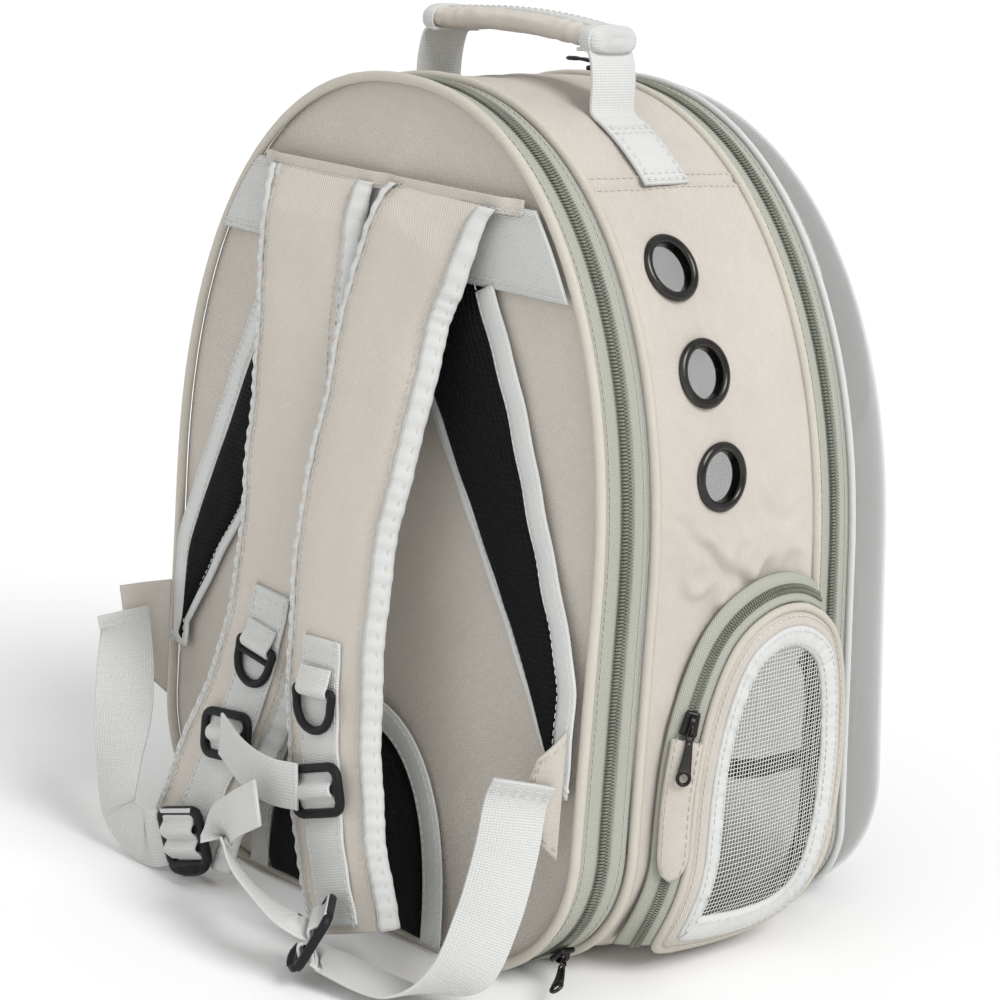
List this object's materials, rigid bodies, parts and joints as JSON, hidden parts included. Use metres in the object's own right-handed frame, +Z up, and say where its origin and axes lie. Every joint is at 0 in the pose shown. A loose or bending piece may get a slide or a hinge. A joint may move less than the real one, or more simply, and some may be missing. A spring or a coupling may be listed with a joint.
{
  "type": "expandable pet carrier backpack",
  "caption": "Arched soft backpack for a small pet, with a zipped depth that folds out, a clear bubble front, mesh side windows, eyelets, padded straps and a top handle.",
  "frame": {"origin": "middle of the flat base, in the plane of the floor", "axes": "+Z up, +Y towards the wearer's back, -Y towards the clear bubble, +X to the wearer's right"},
  "size_m": [0.3568, 0.3853, 0.464],
  "materials": {
    "case_cloth": "woven polyester, matt",
    "piping_cloth": "covered cord, matt",
    "zip_tape": "herringbone woven tape",
    "zip_coil": "nylon coil teeth",
    "clear_shell": "clear moulded sheet",
    "gunmetal": "dark plated, polished",
    "light_tape": "twill tape",
    "grey_webbing": "ribbed webbing",
    "black_mesh": "spacer mesh",
    "window_net": "square net",
    "buckle_plastic": "moulded acetal, satin"
  },
  "bodies": {
    "root": {"back_panel_piping": "piping_cloth", "rear_seam_piping": "piping_cloth", "front_seam_piping": "piping_cloth", "bubble_edge_piping": "piping_cloth", "back_zip_tape": "zip_tape", "back_zip_coil": "zip_coil", "front_zip_tape": "zip_tape", "front_zip_coil": "zip_coil", "back_panel": "case_cloth", "bubble": "clear_shell", "gusset": "case_cloth", "eyelet_left_1": "gunmetal", "eyelet_left_2": "gunmetal", "eyelet_left_3": "gunmetal", "eyelet_right_1": "gunmetal", "eyelet_right_2": "gunmetal", "eyelet_right_3": "gunmetal", "door_frame_left": "case_cloth", "door_piping_left": "piping_cloth", "window_binding_left": "light_tape", "window_mesh_left": "window_net", "door_zip_left": "zip_tape", "door_flap_left": "case_cloth", "door_frame_right": "case_cloth", "door_piping_right": "piping_cloth", "window_binding_right": "light_tape", "window_mesh_right": "window_net", "door_zip_right": "zip_tape", "door_flap_right": "case_cloth", "yoke_band": "light_tape", "mesh_pad_left": "black_mesh", "mesh_pad_right": "black_mesh", "arch_pad_binding": "grey_webbing", "arch_pad": "black_mesh", "anchor_wing_left": "case_cloth", "anchor_wing_right": "case_cloth", "shoulder_strap_left": "case_cloth", "strap_binding_left": "light_tape", "strap_webbing_left": "grey_webbing", "d_ring_left": "buckle_plastic", "sternum_slider_left": "buckle_plastic", "lower_webbing_left": "grey_webbing", "ladder_lock_left": "buckle_plastic", "handle_webbing_left": "light_tape", "door_zip_slider_left": "gunmetal", "shoulder_strap_right": "case_cloth", "strap_binding_right": "light_tape", "strap_webbing_right": "grey_webbing", "d_ring_right": "buckle_plastic", "sternum_slider_right": "buckle_plastic", "lower_webbing_right": "grey_webbing", "ladder_lock_right": "buckle_plastic", "handle_webbing_right": "light_tape", "door_zip_slider_right": "gunmetal", "tail_webbing": "grey_webbing", "sternum_webbing": "grey_webbing", "handle_grip": "case_cloth", "back_zip_slider": "gunmetal", "front_zip_slider_left": "gunmetal", "front_zip_slider_right": "gunmetal"}
  },
  "joints": []
}
